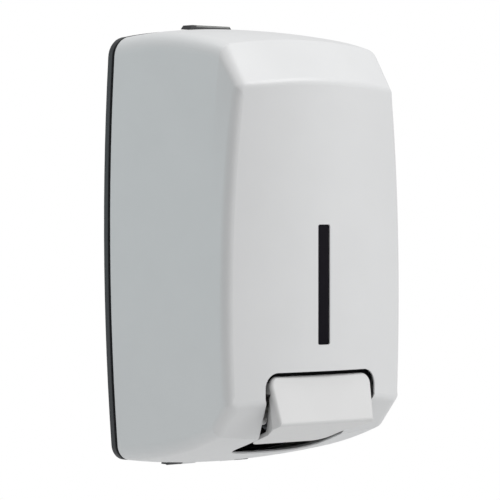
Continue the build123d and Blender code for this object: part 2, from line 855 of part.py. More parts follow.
with BuildPart() as lock_plate:
    with BuildSketch(Plane.XY.offset(plate_seat)):
        with Locations((-lock_plate_start + press_gap, -plate_thickness - press_gap)):
            Rectangle(
                lock_plate_start + lock_plate_end - 2 * press_gap,
                lock_front - plate_thickness - press_gap,
                align=(Align.MIN, Align.MAX))
        with Locations((0, -lock_axis_depth)):
            Rectangle(key_slot_length, key_slot_width, mode=Mode.SUBTRACT)
    extrude(amount=lock_plate_thickness)
save(lock_plate.part, "lock_plate")

with BuildPart() as lock_screws:
    with BuildSketch(Plane.XZ.offset(lock_screw_end)):
        with Locations((0, lock_ear_z)):
            with GridLocations(2 * lock_ear_x, 0, 2, 1):
                Circle(small_screw_radius)
    extrude(amount=lock_screw_length)
    with BuildSketch(Plane.XZ.offset(plate_thickness + lock_ear_thickness)):
        with Locations((0, lock_ear_z)):
            with GridLocations(2 * lock_ear_x, 0, 2, 1):
                Circle(small_head_radius)
    extrude(amount=small_head_height)
save(lock_screws.part, "lock_screws")

# Key barrel, hooked cam and cam screw; the cam rests turned sideways, clear of the catch
with BuildPart() as lock_barrel:
    barrel = profile(
        lock_plane,
        (0, cam_top),
        (barrel_radius, cam_top),
        (barrel_radius, barrel_seat + slide_gap / 2),
        (barrel_head_radius, barrel_seat + slide_gap / 2),
        (barrel_head_radius, plate_seat - slide_gap / 2),
        (0, plate_seat - slide_gap / 2))
    revolve(barrel, axis=lock_axis)
    with BuildSketch(Plane.XY.offset(plate_seat - key_slot_depth)):
        with Locations((0, -lock_axis_depth)):
            Rectangle(key_slot_length, key_slot_width)
    extrude(amount=key_slot_depth, mode=Mode.SUBTRACT)
    with BuildSketch(Plane.XY.offset(cam_top)):
        with Locations((0, -lock_axis_depth)):
            Circle(small_screw_radius + press_gap)
    extrude(amount=cam_screw_length - cam_thickness + loose_gap, mode=Mode.SUBTRACT)
save(lock_barrel.part, "lock_barrel")

with BuildPart() as lock_cam:
    with BuildSketch(Plane.XY.offset(cam_top - cam_thickness)):
        with Locations((0, -lock_axis_depth)):
            Circle(cam_half_width)
            Rectangle(cam_reach, 2 * cam_half_width, align=(Align.MIN, Align.CENTER))
            Circle(small_screw_radius + press_gap, mode=Mode.SUBTRACT)
    extrude(amount=cam_thickness)
    with BuildSketch(Plane.XY.offset(cam_top)):
        with Locations((hook_radius, -lock_axis_depth)):
            Rectangle(cam_hook_width, 2 * cam_half_width, align=(Align.MIN, Align.CENTER))
    extrude(amount=cam_hook_height)
save(lock_cam.part, "lock_cam")

with BuildPart() as cam_screw:
    with BuildSketch(Plane.XY.offset(cam_top - cam_thickness)):
        with Locations((0, -lock_axis_depth)):
            Circle(small_screw_radius)
    extrude(amount=cam_screw_length)
    with BuildSketch(Plane.XY.offset(cam_top - cam_thickness)):
        with Locations((0, -lock_axis_depth)):
            Circle(small_head_radius)
    extrude(amount=-small_head_height)
save(cam_screw.part, "cam_screw")

# Soap tank with filler lip, pump neck and two hanging lugs
lug_back = hook_back - hook_play - lug_wall

with BuildPart() as tank:
    with BuildSketch(Plane.XY.offset(tank_bottom)):
        with Locations((0, -tank_centre)):
            RectangleRounded(tank_width, tank_depth, tank_corner)
    extrude(amount=tank_height)
    fillet(tank.faces().filter_by(Axis.Z).edges(), tank_edge)
    with BuildSketch(Plane.XY.offset(tank_top - tank_wall)):
        with Locations((0, -tank_centre)):
            Circle(filler_radius + tank_wall)
    extrude(amount=filler_lip + tank_wall)
    with BuildSketch(Plane.XY.offset(neck_end)):
        with Locations((0, -pump_depth)):
            Circle(neck_radius)
    extrude(amount=neck_length + tank_wall)
    with BuildSketch(Plane.XY.offset(tank_bottom + tank_wall)):
        with Locations((0, -tank_centre)):
            RectangleRounded(
                tank_width - 2 * tank_wall, tank_depth - 2 * tank_wall, tank_corner - tank_wall)
    extrude(amount=tank_height - 2 * tank_wall, mode=Mode.SUBTRACT)
    with BuildSketch(Plane.XY.offset(tank_top - 2 * tank_wall)):
        with Locations((0, -tank_centre)):
            Circle(filler_radius)
    extrude(amount=filler_lip + 2 * tank_wall, mode=Mode.SUBTRACT)
    with BuildSketch(Plane.XY.offset(neck_end)):
        with Locations((0, -pump_depth)):
            Circle(neck_bore)
    extrude(amount=neck_length + 2 * tank_wall, mode=Mode.SUBTRACT)
    with BuildSketch(Plane.XY.offset(hook_base + contact_gap)):
        with Locations((0, -lug_back)):
            with GridLocations(hook_spacing, 0, 2, 1):
                Rectangle(
                    hook_width + 2 * (hook_play + lug_wall),
                    tank_stand_off - lug_back + tank_wall / 2,
                    align=(Align.CENTER, Align.MAX))
        with Locations((0, hook_play - hook_back)):
            with GridLocations(hook_spacing, 0, 2, 1):
                Rectangle(
                    hook_width + 2 * hook_play,
                    hook_thickness + 2 * hook_play,
                    align=(Align.CENTER, Align.MAX),
                    mode=Mode.SUBTRACT)
    extrude(amount=lug_height)
save(tank.part, "tank")

# Filler cap and its seal
cap_z = tank_top + filler_lip + cap_seal_thickness
cap_radius = filler_radius + cap_overhang
plug_radius = filler_radius - slide_gap
filler_plane = Plane.XZ.offset(tank_centre)
filler_axis = Axis((0, -tank_centre, 0), (0, 0, 1))

with BuildPart() as filler_cap:
    cap_profile = profile(
        filler_plane,
        (0, cap_z),
        (plug_radius - cap_plug_wall, cap_z),
        (plug_radius - cap_plug_wall, tank_top),
        (plug_radius, tank_top),
        (plug_radius, cap_z),
        (cap_radius, cap_z),
        (cap_radius, cap_z + cap_thickness),
        (0, cap_z + cap_thickness))
    revolve(cap_profile, axis=filler_axis)
    with BuildSketch(Plane.XY.offset(cap_z + cap_thickness)):
        with Locations((0, -tank_centre)):
            RectangleRounded(grip_length, grip_width, grip_width / 2 - press_gap)
    extrude(amount=grip_height)
save(filler_cap.part, "filler_cap")

with BuildPart() as cap_seal:
    with BuildSketch(Plane.XY.offset(tank_top + filler_lip)):
        with Locations((0, -tank_centre)):
            Circle(filler_radius + tank_wall)
            Circle(plug_radius + press_gap, mode=Mode.SUBTRACT)
    extrude(amount=cap_seal_thickness)
save(cap_seal.part, "cap_seal")

# Pump cylinder with inlet cage, and its seal, nut, guide and ball
cage_bottom = chamber_top + cage_floor
ball_z = cage_bottom + math.sqrt(ball_radius**2 - port_radius**2) + slide_gap

with BuildPart() as pump_body:
    cylinder = profile(
        pump_plane,
        (cylinder_bore, flange_end),
        (pump_flange_radius, flange_end),
        (pump_flange_radius, gasket_end),
        (cylinder_radius, gasket_end),
        (cylinder_radius, cylinder_top),
        (port_radius, cylinder_top),
        (port_radius, cylinder_top - cage_floor),
        (cage_radius, cylinder_top - cage_floor),
        (cage_radius, cage_bottom),
        (port_radius, cage_bottom),
        (port_radius, chamber_top),
        (cylinder_bore, chamber_top))
    revolve(cylinder, axis=pump_axis)
    with BuildSketch(Plane.XY.offset(chamber_top)):
        with Locations((0, -pump_depth)):
            Rectangle(2 * cage_radius, port_slot)
            Rectangle(port_slot, 2 * cage_radius)
    extrude(amount=cage_floor, mode=Mode.SUBTRACT)
save(pump_body.part, "pump_body")

with BuildPart() as inlet_ball:
    with Locations((0, -pump_depth, ball_z)):
        Sphere(ball_radius)
save(inlet_ball.part, "inlet_ball")

with BuildPart() as neck_gasket:
    with BuildSketch(Plane.XY.offset(gasket_end)):
        with Locations((0, -pump_depth)):
            Circle(pump_flange_radius)
            Circle(cylinder_radius + slide_gap, mode=Mode.SUBTRACT)
    extrude(amount=gasket_thickness)
save(neck_gasket.part, "neck_gasket")

with BuildPart() as stem_guide:
    with BuildSketch(Plane.XY.offset(flange_end)):
        with Locations((0, -pump_depth)):
            Circle(cylinder_bore - press_gap)
            Circle(stem_radius + slide_gap, mode=Mode.SUBTRACT)
    extrude(amount=guide_height)
save(stem_guide.part, "stem_guide")

with BuildPart() as union_nut:
    nut = profile(
        pump_plane,
        (nut_hole, flange_end - nut_lip),
        (nut_radius, flange_end - nut_lip),
        (nut_radius, tank_bottom - tank_wall),
        (neck_radius + slide_gap, tank_bottom - tank_wall),
        (neck_radius + slide_gap, flange_end),
        (nut_hole, flange_end))
    revolve(nut, axis=pump_axis)
    with BuildSketch(Plane.XY.offset(flange_end - nut_lip)):
        with Locations((0, -pump_depth)):
            with PolarLocations(nut_radius, nut_ribs):
                Circle(nut_rib_radius)
    extrude(amount=tank_bottom - tank_wall - flange_end + nut_lip)
save(union_nut.part, "union_nut")

# Pump stem with piston, seal, outlet valve and nozzle tip
piston_bottom = flange_end + guide_height + piston_rise
groove_bottom = piston_bottom + (piston_height - seal_height) / 2
groove_radius = piston_radius - seal_depth

with BuildPart() as pump_stem:
    stem = profile(
        pump_plane,
        (stem_bore, stem_end),
        (stem_radius, stem_end),
        (stem_radius, collar_end),
        (collar_radius, collar_end),
        (collar_radius, collar_top),
        (stem_radius, collar_top),
        (stem_radius, piston_bottom),
        (piston_radius, piston_bottom),
        (piston_radius, groove_bottom),
        (groove_radius, groove_bottom),
        (groove_radius, groove_bottom + seal_height),
        (piston_radius, groove_bottom + seal_height),
        (piston_radius, piston_bottom + piston_height),
        (stem_bore, piston_bottom + piston_height))
    revolve(stem, axis=pump_axis)
save(pump_stem.part, "pump_stem")

with BuildPart() as piston_seal:
    seal = profile(
        pump_plane,
        (groove_radius + press_gap, groove_bottom + press_gap),
        (piston_radius, groove_bottom + press_gap),
        (cylinder_bore - slide_gap, groove_bottom + seal_height / 2),
        (cylinder_bore - slide_gap, groove_bottom + seal_height - press_gap),
        (groove_radius + press_gap, groove_bottom + seal_height - press_gap))
    revolve(seal, axis=pump_axis)
save(piston_seal.part, "piston_seal")

with BuildPart() as outlet_valve:
    with BuildSketch(Plane.XY.offset(stem_end - valve_thickness)):
        with Locations((0, -pump_depth)):
            Circle(stem_radius - press_gap)
            Rectangle(nozzle_bore, loose_gap, mode=Mode.SUBTRACT)
    extrude(amount=valve_thickness)
save(outlet_valve.part, "outlet_valve")

tip_floor = stem_end - valve_thickness
with BuildPart() as nozzle_tip:
    tip = profile(
        pump_plane,
        (nozzle_bore, tip_floor - nozzle_floor),
        (nozzle_radius - nozzle_floor, tip_floor - nozzle_floor),
        (nozzle_radius, tip_floor),
        (nozzle_radius, stem_end + nozzle_sleeve),
        (stem_radius + press_gap, stem_end + nozzle_sleeve),
        (stem_radius + press_gap, tip_floor),
        (nozzle_bore, tip_floor))
    revolve(tip, axis=pump_axis)
save(nozzle_tip.part, "nozzle_tip")

# Return spring: a helix of quarter-turn biarcs between the collar and the pump flange
spring_start = collar_top + spring_wire + slide_gap
spring_rise = spring_length - 2 * (spring_wire + slide_gap)
quarter_turns = 4 * spring_turns


def helix_point(quarter):
    """Point on the spring's helix after a number of quarter turns."""
    turn = quarter * math.pi / 2
    return Vector(
        spring_radius * math.cos(turn),
        spring_radius * math.sin(turn) - pump_depth,
        spring_start + spring_rise * quarter / quarter_turns)


def helix_tangent(quarter):
    """Unit tangent of the spring's helix after a number of quarter turns."""
    turn = quarter * math.pi / 2
    climb = spring_rise / (2 * math.pi * spring_turns)
    return Vector(
        -spring_radius * math.sin(turn), spring_radius * math.cos(turn), climb).normalized()


def biarc_joint(start, start_tangent, end, end_tangent):
    """Point where the two arcs of a biarc meet."""
    chord = end - start
    bend = 2 * (1 - start_tangent.dot(end_tangent))
    pull = chord.dot(start_tangent + end_tangent)
    reach = (math.sqrt(pull**2 + bend * chord.dot(chord)) - pull) / bend
    return (start + end + (start_tangent - end_tangent) * reach) * 0.5


with BuildPart() as return_spring:
    with BuildLine() as helix:
        for quarter in range(quarter_turns):
            start = helix_point(quarter)
            end = helix_point(quarter + 1)
            start_tangent = helix_tangent(quarter)
            end_tangent = helix_tangent(quarter + 1)
            joint = biarc_joint(start, start_tangent, end, end_tangent)
            first_arc = TangentArc(start, joint, tangent=start_tangent)
            TangentArc(joint, end, tangent=first_arc % 1)
    with BuildSketch(Plane(helix_point(0), z_dir=helix_tangent(0))):
        Circle(spring_wire)
    sweep(path=helix.wires()[0])
save(return_spring.part, "return_spring")

steps_per_turn = 48
wire_points = [
    helix_point(4 * step / steps_per_turn) for step in range(spring_turns * steps_per_turn + 1)]
least_gap = min(
    (far - near).length - 2 * spring_wire
    for index, near in enumerate(wire_points)
    for far in wire_points[index + steps_per_turn // 2:])
print(f"least gap between spring turns {least_gap:.2f} mm")
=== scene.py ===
"""Studio scene of a wall mounted soap dispenser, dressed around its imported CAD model.

Lengths are in metres in the model's own frame: X runs to the right as seen from the front,
Y runs into the wall and Z points up.
"""

import logging
import math
from abc import ABC, abstractmethod
from dataclasses import dataclass, field
from enum import Enum

import bmesh
import bpy
from mathutils import Matrix, Vector


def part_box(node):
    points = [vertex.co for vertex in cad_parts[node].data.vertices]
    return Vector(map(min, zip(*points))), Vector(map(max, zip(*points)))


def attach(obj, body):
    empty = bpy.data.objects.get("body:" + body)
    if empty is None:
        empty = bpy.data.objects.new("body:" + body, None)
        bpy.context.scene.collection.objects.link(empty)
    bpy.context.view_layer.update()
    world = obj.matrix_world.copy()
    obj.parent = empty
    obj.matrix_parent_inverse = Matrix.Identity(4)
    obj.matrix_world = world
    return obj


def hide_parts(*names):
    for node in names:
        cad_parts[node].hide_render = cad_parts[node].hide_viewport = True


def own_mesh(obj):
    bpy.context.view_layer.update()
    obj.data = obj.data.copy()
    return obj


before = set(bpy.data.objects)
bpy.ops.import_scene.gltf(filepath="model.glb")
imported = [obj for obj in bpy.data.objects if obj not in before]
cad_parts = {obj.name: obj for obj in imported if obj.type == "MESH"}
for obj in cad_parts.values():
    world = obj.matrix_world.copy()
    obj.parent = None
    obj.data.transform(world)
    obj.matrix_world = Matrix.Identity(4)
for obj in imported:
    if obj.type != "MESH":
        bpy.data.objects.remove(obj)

LOG = logging.getLogger("soap_dispenser")
MM = 0.001
SHARP_ANGLE = math.radians(35)
SIDES = (-1, 1)
Colour = tuple[float, float, float]
Triple = tuple[float, float, float]


class Body(Enum):
    """Rigid bodies of the CAD model that new pieces ride on."""

    BACK = "back"
    COVER = "cover"
    LOCK = "lock_core"
    TANK = "tank_unit"


class Axis(Enum):
    """Directions in the model's frame, as unit vectors."""

    INTO_WALL = (0.0, 1.0, 0.0)
    OUT_OF_WALL = (0.0, -1.0, 0.0)
    UP = (0.0, 0.0, 1.0)
    DOWN = (0.0, 0.0, -1.0)

    @property
    def vector(self) -> Vector:
        """Unit vector of the direction."""
        return Vector(self.value)


class Graph:
    """Node tree of one material, with short calls for the nodes that the finishes use."""

    NOISE_LOW = 0.25
    NOISE_HIGH = 0.75
    MIX_FACTOR = 0
    MIX_FIRST_COLOUR = 6
    MIX_SECOND_COLOUR = 7
    MIX_COLOUR_RESULT = 2
    BEVEL_SAMPLES = 6

    def __init__(self, name: str) -> None:
        """Start a material with a principled shader on its output.

        Args:
            name: Name of the material.
        """
        self.material = bpy.data.materials.new(name)
        self.material.use_nodes = True
        self.tree = self.material.node_tree
        self.tree.nodes.clear()
        self.shader = self.add("ShaderNodeBsdfPrincipled")
        output = self.add("ShaderNodeOutputMaterial")
        self.link(self.shader.outputs["BSDF"], output.inputs["Surface"])
        self.coords = self.add("ShaderNodeTexCoord").outputs["Object"]

    def add(self, kind: str) -> bpy.types.Node:
        """Add a node of the given kind and return it."""
        return self.tree.nodes.new(kind)

    def link(self, source: bpy.types.NodeSocket, target: bpy.types.NodeSocket) -> None:
        """Link an output socket to an input socket."""
        self.tree.links.new(source, target)

    def constants(self, **values: float | Colour) -> None:
        """Set plain values on the shader's own sockets.

        Args:
            values: Socket names with underscores for spaces, and their values.
        """
        for key, value in values.items():
            socket = self.shader.inputs[key.replace("_", " ").title().replace("Ior", "IOR")]
            socket.default_value = (*value, 1.0) if isinstance(value, tuple) else value

    def stretched(self, stretch: Triple) -> bpy.types.NodeSocket:
        """Object coordinates scaled apart along each axis.

        Args:
            stretch: Scale along X, Y and Z.

        Returns:
            The scaled coordinates.
        """
        mapping = self.add("ShaderNodeMapping")
        mapping.inputs["Scale"].default_value = stretch
        self.link(self.coords, mapping.inputs["Vector"])
        return mapping.outputs["Vector"]

    def noise(
        self,
        size: float,
        detail: float = 3.0,
        coords: bpy.types.NodeSocket | None = None,
    ) -> bpy.types.NodeSocket:
        """Soft noise with features of about the given size.

        Args:
            size: Size of one feature in metres.
            detail: Number of finer layers.
            coords: Coordinates to read, or the object's own.

        Returns:
            The noise value, from 0 to 1.
        """
        node = self.add("ShaderNodeTexNoise")
        node.inputs["Scale"].default_value = 1.0 / size
        node.inputs["Detail"].default_value = detail
        self.link(coords or self.coords, node.inputs["Vector"])
        return node.outputs["Fac"]

    def spread(
        self, value: bpy.types.NodeSocket, low: float, high: float
    ) -> bpy.types.NodeSocket:
        """Map the middle of a noise value onto a range.

        Args:
            value: Noise value.
            low: Result where the noise is low.
            high: Result where the noise is high.

        Returns:
            The mapped value.
        """
        node = self.add("ShaderNodeMapRange")
        node.inputs["From Min"].default_value = self.NOISE_LOW
        node.inputs["From Max"].default_value = self.NOISE_HIGH
        node.inputs["To Min"].default_value = low
        node.inputs["To Max"].default_value = high
        self.link(value, node.inputs["Value"])
        return node.outputs["Result"]

    def tint(
        self, value: bpy.types.NodeSocket, colour: Colour, contrast: float
    ) -> bpy.types.NodeSocket:
        """Colour that wanders a little around its mean.

        Args:
            value: Noise value that drives the wander.
            colour: Mean colour.
            contrast: Share of the colour by which it wanders either way.

        Returns:
            The colour.
        """
        mix = self.add("ShaderNodeMix")
        mix.data_type = "RGBA"
        ends = (1.0 - contrast, 1.0 + contrast)
        dark, light = (tuple(min(1.0, c * end) for c in colour) for end in ends)
        mix.inputs[self.MIX_FIRST_COLOUR].default_value = (*dark, 1.0)
        mix.inputs[self.MIX_SECOND_COLOUR].default_value = (*light, 1.0)
        self.link(self.spread(value, 0.0, 1.0), mix.inputs[self.MIX_FACTOR])
        return mix.outputs[self.MIX_COLOUR_RESULT]

    def relief(
        self,
        height: bpy.types.NodeSocket,
        depth: float,
        base: bpy.types.NodeSocket | None = None,
    ) -> bpy.types.NodeSocket:
        """Normal of a surface raised by a height value.

        Args:
            height: Height, from 0 to 1.
            depth: Height difference in metres.
            base: Normal that the relief is laid on, or the surface's own.

        Returns:
            The normal.
        """
        node = self.add("ShaderNodeBump")
        node.inputs["Distance"].default_value = depth
        node.inputs["Strength"].default_value = 1.0
        self.link(height, node.inputs["Height"])
        if base is not None:
            self.link(base, node.inputs["Normal"])
        return node.outputs["Normal"]

    def soft_edges(self, radius: float) -> bpy.types.NodeSocket:
        """Normal that rounds sharp edges over the given radius."""
        node = self.add("ShaderNodeBevel")
        node.samples = self.BEVEL_SAMPLES
        node.inputs["Radius"].default_value = radius
        return node.outputs["Normal"]

    def drive(self, name: str, source: bpy.types.NodeSocket) -> None:
        """Link a source to one of the shader's sockets by name."""
        self.link(source, self.shader.inputs[name])


@dataclass(frozen=True)
class Finish(ABC):
    """A surface finish that can be put on a piece."""

    name: str
    colour: Colour

    @abstractmethod
    def paint(self, graph: Graph) -> None:
        """Fill a material's node tree.

        Args:
            graph: Node tree to fill.
        """

    def material(self) -> bpy.types.Material:
        """Material of this finish, made on first use."""
        made = bpy.data.materials.get(self.name)
        if made is not None:
            return made
        graph = Graph(self.name)
        self.paint(graph)
        return graph.material

    def put_on(self, piece: bpy.types.Object) -> None:
        """Make this finish a piece's only material."""
        piece.data.materials.clear()
        piece.data.materials.append(self.material())


@dataclass(frozen=True)
class MouldedPlastic(Finish):
    """Moulded plastic with a fine spark-eroded grain and softly rounded edges."""

    roughness: float = 0.42
    roughness_wander: float = 0.05
    roughness_patch: float = 1.5 * MM
    grain: float = 0.35 * MM
    grain_depth: float = 0.006 * MM
    ripple: float = 35 * MM
    ripple_depth: float = 0.010 * MM
    contrast: float = 0.015
    edge: float = 0.5 * MM
    specular: float = 0.45
    milky: float = 0.0
    milky_depth: float = 6 * MM

    def paint(self, graph: Graph) -> None:
        """Fill the node tree with tone wander, grain and slow mould ripple.

        Args:
            graph: Node tree to fill.
        """
        flow = graph.noise(self.ripple, detail=2.0)
        grain = graph.noise(self.grain, detail=4.0)
        graph.constants(specular_ior_level=self.specular)
        if self.milky:
            graph.constants(subsurface_weight=self.milky, subsurface_scale=self.milky_depth)
        graph.drive("Base Color", graph.tint(flow, self.colour, self.contrast))
        low, high = self.roughness - self.roughness_wander, self.roughness + self.roughness_wander
        graph.drive("Roughness", graph.spread(graph.noise(self.roughness_patch), low, high))
        rounded = graph.soft_edges(self.edge)
        rippled = graph.relief(flow, self.ripple_depth, rounded)
        graph.drive("Normal", graph.relief(grain, self.grain_depth, rippled))


@dataclass(frozen=True)
class DrawnMetal(Finish):
    """Metal with fine lines along one axis."""

    roughness: float = 0.3
    smoothest: float = 0.08
    roughest: float = 0.1
    lines: Triple = (0.05, 1.0, 1.0)
    line_width: float = 0.15 * MM
    line_depth: float = 0.004 * MM
    tarnish: float = 0.06
    tarnish_patch: float = 4 * MM
    edge: float = 0.15 * MM

    def paint(self, graph: Graph) -> None:
        """Fill the node tree with drawn lines and slight tarnish.

        Args:
            graph: Node tree to fill.
        """
        lines = graph.noise(self.line_width, detail=2.0, coords=graph.stretched(self.lines))
        patches = graph.noise(self.tarnish_patch)
        graph.constants(metallic=1.0)
        graph.drive("Base Color", graph.tint(patches, self.colour, self.tarnish))
        low, high = self.roughness - self.smoothest, self.roughness + self.roughest
        graph.drive("Roughness", graph.spread(lines, low, high))
        rounded = graph.soft_edges(self.edge)
        graph.drive("Normal", graph.relief(lines, self.line_depth, rounded))


@dataclass(frozen=True)
class SoftRubber(Finish):
    """Matt rubber with a dusty speckle."""

    roughness: float = 0.7
    roughness_wander: float = 0.08
    speckle: float = 0.5 * MM
    speckle_depth: float = 0.02 * MM
    contrast: float = 0.15
    edge: float = 0.2 * MM

    def paint(self, graph: Graph) -> None:
        """Fill the node tree with speckle and a pebbled surface.

        Args:
            graph: Node tree to fill.
        """
        speckle = graph.noise(self.speckle, detail=4.0)
        graph.constants(sheen_weight=0.15, sheen_roughness=0.5, specular_ior_level=0.3)
        graph.drive("Base Color", graph.tint(speckle, self.colour, self.contrast))
        low, high = self.roughness - self.roughness_wander, self.roughness + self.roughness_wander
        graph.drive("Roughness", graph.spread(speckle, low, high))
        rounded = graph.soft_edges(self.edge)
        graph.drive("Normal", graph.relief(speckle, self.speckle_depth, rounded))


@dataclass(frozen=True)
class SmokedWindow(Finish):
    """Dark smoked plastic with a dull face."""

    roughness: float = 0.3
    roughness_wander: float = 0.05
    roughness_patch: float = 2 * MM
    smoke: float = 12 * MM
    wave_depth: float = 0.01 * MM
    contrast: float = 0.2
    edge: float = 0.3 * MM

    def paint(self, graph: Graph) -> None:
        """Fill the node tree with a smoky tone and faint waves in the face.

        Args:
            graph: Node tree to fill.
        """
        smoke = graph.noise(self.smoke, detail=2.0)
        graph.constants(specular_ior_level=0.03, ior=1.49)
        graph.drive("Base Color", graph.tint(smoke, self.colour, self.contrast))
        low, high = self.roughness - self.roughness_wander, self.roughness + self.roughness_wander
        graph.drive("Roughness", graph.spread(graph.noise(self.roughness_patch), low, high))
        rounded = graph.soft_edges(self.edge)
        graph.drive("Normal", graph.relief(smoke, self.wave_depth, rounded))


@dataclass(frozen=True)
class StudioPaper(Finish):
    """Pale seamless paper under the object."""

    tooth: float = 1.2 * MM
    tooth_depth: float = 0.02 * MM
    contrast: float = 0.01

    def paint(self, graph: Graph) -> None:
        """Fill the node tree with a faint paper tooth.

        Args:
            graph: Node tree to fill.
        """
        tooth = graph.noise(self.tooth, detail=4.0)
        graph.constants(roughness=0.9, specular_ior_level=0.1)
        graph.drive("Base Color", graph.tint(tooth, self.colour, self.contrast))
        graph.drive("Normal", graph.relief(tooth, self.tooth_depth))


COVER_GREY = MouldedPlastic("satin_cover_grey", (0.67, 0.675, 0.68), roughness=0.38)
LEVER_WHITE = MouldedPlastic(
    "satin_lever_white", (0.66, 0.66, 0.66), roughness=0.38, edge=0.8 * MM
)
BASE_DARK = MouldedPlastic(
    "dark_base_plate", (0.034, 0.035, 0.038), roughness=0.5, contrast=0.06
)
# Painted shade: the lever's frame is near black so that the gaps around the lever read as deep
# shade.
SHADE_BLACK_FRAME = MouldedPlastic(
    "painted_shade_lever_frame", (0.006, 0.006, 0.007), roughness=0.7, contrast=0.08, specular=0.08
)
LOCK_BLACK = MouldedPlastic(
    "black_lock_housing", (0.02, 0.02, 0.022), roughness=0.45, edge=0.3 * MM
)
TANK_MILK = MouldedPlastic(
    "milky_tank", (0.74, 0.75, 0.71), roughness=0.45, milky=0.25, contrast=0.03
)
CAP_GREY = MouldedPlastic("grey_filler_cap", (0.5, 0.51, 0.53), roughness=0.42)
PUMP_WHITE = MouldedPlastic(
    "white_pump_parts", (0.72, 0.72, 0.70), roughness=0.35, edge=0.25 * MM
)
NUT_GREY = MouldedPlastic(
    "grey_union_nut", (0.09, 0.095, 0.105), roughness=0.45, edge=0.25 * MM
)
WINDOW = SmokedWindow("smoked_window", (0.006, 0.005, 0.008))
STRIP_METAL = DrawnMetal("brushed_lock_strip", (0.125, 0.127, 0.124), lines=(0.03, 1.0, 1.0))
PIN_STEEL = DrawnMetal("drawn_pin_steel", (0.55, 0.55, 0.54), lines=(0.03, 1.0, 1.0))
SPRING_STEEL = DrawnMetal(
    "spring_steel", (0.52, 0.52, 0.51), roughness=0.25, lines=(1.0, 1.0, 1.0)
)
SCREW_STEEL = DrawnMetal("plated_screw_steel", (0.50, 0.50, 0.52), lines=(1.0, 1.0, 1.0))
BARREL_BRASS = DrawnMetal("turned_barrel_brass", (0.60, 0.44, 0.18), lines=(1.0, 1.0, 0.05))
SEAL_BLACK = SoftRubber("black_seal_rubber", (0.015, 0.015, 0.016))
VALVE_PALE = SoftRubber("pale_valve_rubber", (0.45, 0.43, 0.38), roughness=0.6)
PAPER = StudioPaper("pale_paper", (0.74, 0.74, 0.74))


def dress(finish: Finish, *names: str) -> None:
    """Put a finish on CAD nodes.

    Args:
        finish: The finish.
        names: Names of the CAD nodes.
    """
    for name in names:
        finish.put_on(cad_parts[name])
        LOG.info("dressed %s with %s", name, finish.name)


def add_piece(name: str, shape: bmesh.types.BMesh) -> bpy.types.Object:
    """Turn a finished bmesh into an object of the scene.

    Args:
        name: Name of the piece.
        shape: Its mesh, which is freed here.

    Returns:
        The new object.
    """
    mesh = bpy.data.meshes.new(name)
    bmesh.ops.recalc_face_normals(shape, faces=shape.faces)
    shape.to_mesh(mesh)
    shape.free()
    piece = bpy.data.objects.new(name, mesh)
    bpy.context.scene.collection.objects.link(piece)
    return piece


def finish_steel(piece: bpy.types.Object, finish: Finish) -> None:
    """Put a finish on a new steel piece and shade it smoothly between its sharp edges.

    Args:
        piece: The piece.
        finish: The finish.
    """
    finish.put_on(piece)
    piece.data.shade_smooth()
    piece.data.set_sharp_from_angle(angle=SHARP_ANGLE)


